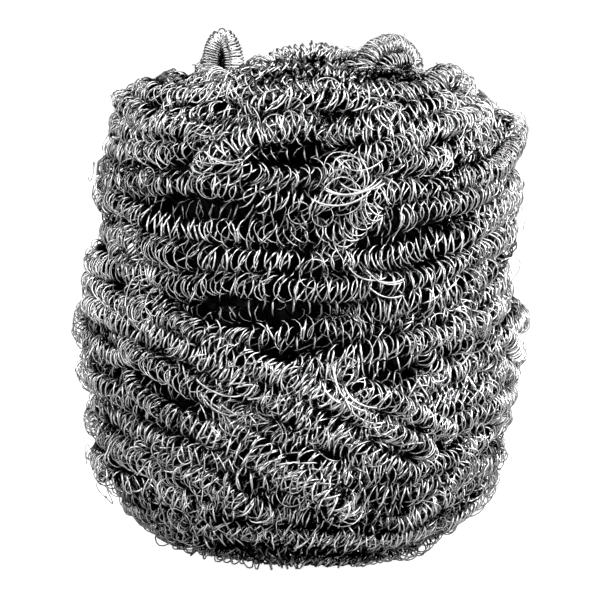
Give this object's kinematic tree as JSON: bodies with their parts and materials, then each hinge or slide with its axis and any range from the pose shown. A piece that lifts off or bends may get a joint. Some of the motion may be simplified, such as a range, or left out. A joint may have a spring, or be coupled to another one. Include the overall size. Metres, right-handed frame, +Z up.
{
  "type": "metal scourer",
  "caption": "Barrel-shaped steel scourer: coiled flat wire wound in turns into a springy ball with a pressed flat base and loose loops on top, for scrubbing pots.",
  "frame": {"origin": "middle of the pressed base, on the surface that the ball stands on", "axes": "+Z up along the axis of the winding, -Y towards the front, +X to the right seen from the front"},
  "size_m": [0.0792, 0.0802, 0.0897],
  "materials": {
    "steel_wire": "bright rolled flat steel wire, coiled, with dark gaps between the coils"
  },
  "bodies": {
    "root": {"wound_wire_coil": "steel_wire"}
  },
  "joints": []
}
